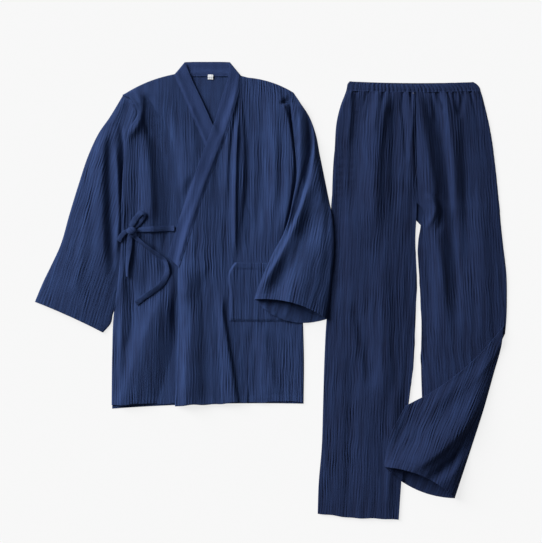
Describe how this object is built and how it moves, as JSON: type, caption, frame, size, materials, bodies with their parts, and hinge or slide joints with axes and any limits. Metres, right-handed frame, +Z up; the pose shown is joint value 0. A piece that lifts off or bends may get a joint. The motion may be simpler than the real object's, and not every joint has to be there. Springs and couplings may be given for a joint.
{
  "type": "samue set",
  "caption": "Samue set laid flat: crossed jacket with a band collar, side bow and patch pocket, beside gathered elastic-waist trousers with one leg folded, in crinkled navy double gauze.",
  "frame": {"origin": "centre of the set's outline, on the surface that it lies on", "axes": "+Z up from that surface, +Y towards the collar and the waistband, +X from the jacket towards the trousers"},
  "size_m": [1.0427, 1.0101, 0.028],
  "materials": {
    "crinkle_cloth": "matt crinkled double gauze",
    "collar_cloth": "matt double gauze, pressed flatter",
    "label_tape": "matt woven tape"
  },
  "bodies": {
    "root": {"jacket_back": "crinkle_cloth", "front_right": "crinkle_cloth", "front_left": "crinkle_cloth", "sleeve_right": "crinkle_cloth", "sleeve_left": "crinkle_cloth", "pocket": "crinkle_cloth", "tie_front": "crinkle_cloth", "tie_side": "crinkle_cloth", "tie_loop": "crinkle_cloth", "tie_tail_short": "crinkle_cloth", "tie_tail_long": "crinkle_cloth", "tie_knot": "crinkle_cloth", "trouser_right_back": "crinkle_cloth", "trouser_right_front": "crinkle_cloth", "trouser_left_back": "crinkle_cloth", "trouser_left_front": "crinkle_cloth", "trouser_left_lower": "crinkle_cloth", "waistband": "crinkle_cloth", "collar_right": "collar_cloth", "collar_back": "collar_cloth", "collar_left": "collar_cloth", "neck_label": "label_tape"}
  },
  "joints": []
}
